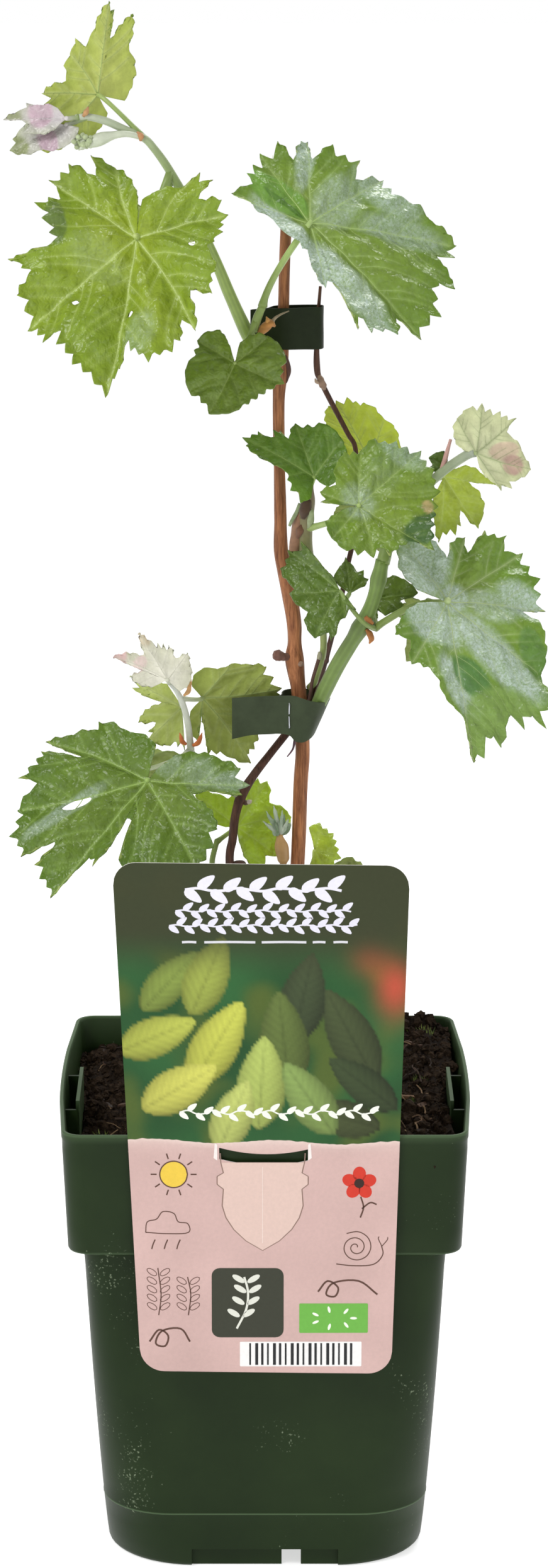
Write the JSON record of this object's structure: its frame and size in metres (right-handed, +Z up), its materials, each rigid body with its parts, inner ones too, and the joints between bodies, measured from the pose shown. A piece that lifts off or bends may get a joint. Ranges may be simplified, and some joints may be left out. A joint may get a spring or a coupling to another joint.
{
  "type": "potted grapevine",
  "caption": "Young grapevine with lobed leaves on two slender woody canes, tied with tape, in a square nursery pot with a card label on its rim.",
  "frame": {"origin": "middle of the pot's flat underside", "axes": "+Z up along the vine, -Y towards the side of the pot that carries the card label, +X to the right as seen from that side"},
  "size_m": [0.1717, 0.1314, 0.5056],
  "materials": {
    "bark": "fine-grained brown bark",
    "dark_bark": "dark brown bark",
    "green_shoot": "green soft shoot",
    "leaf": "matt leaf",
    "pot_plastic": "satin dark olive plastic",
    "compost": "rough fibrous compost",
    "card": "printed card",
    "tie_tape": "matt woven tape"
  },
  "bodies": {
    "root": {"pot": "pot_plastic", "soil": "compost", "label_card": "card", "trunk": "bark", "main_cane": "bark", "thin_cane": "dark_bark", "thin_cane_tip": "dark_bark", "top_shoot": "green_shoot", "middle_shoot": "green_shoot", "left_shoot": "green_shoot", "lower_tie": "tie_tape", "upper_tie": "tie_tape", "top_foliage": "leaf", "upper_foliage": "leaf", "rear_top_foliage": "leaf", "middle_foliage": "leaf", "right_foliage": "leaf", "centre_foliage": "leaf", "left_foliage": "leaf", "base_left_foliage": "leaf", "base_right_foliage": "leaf", "base_bud": "leaf"}
  },
  "joints": []
}
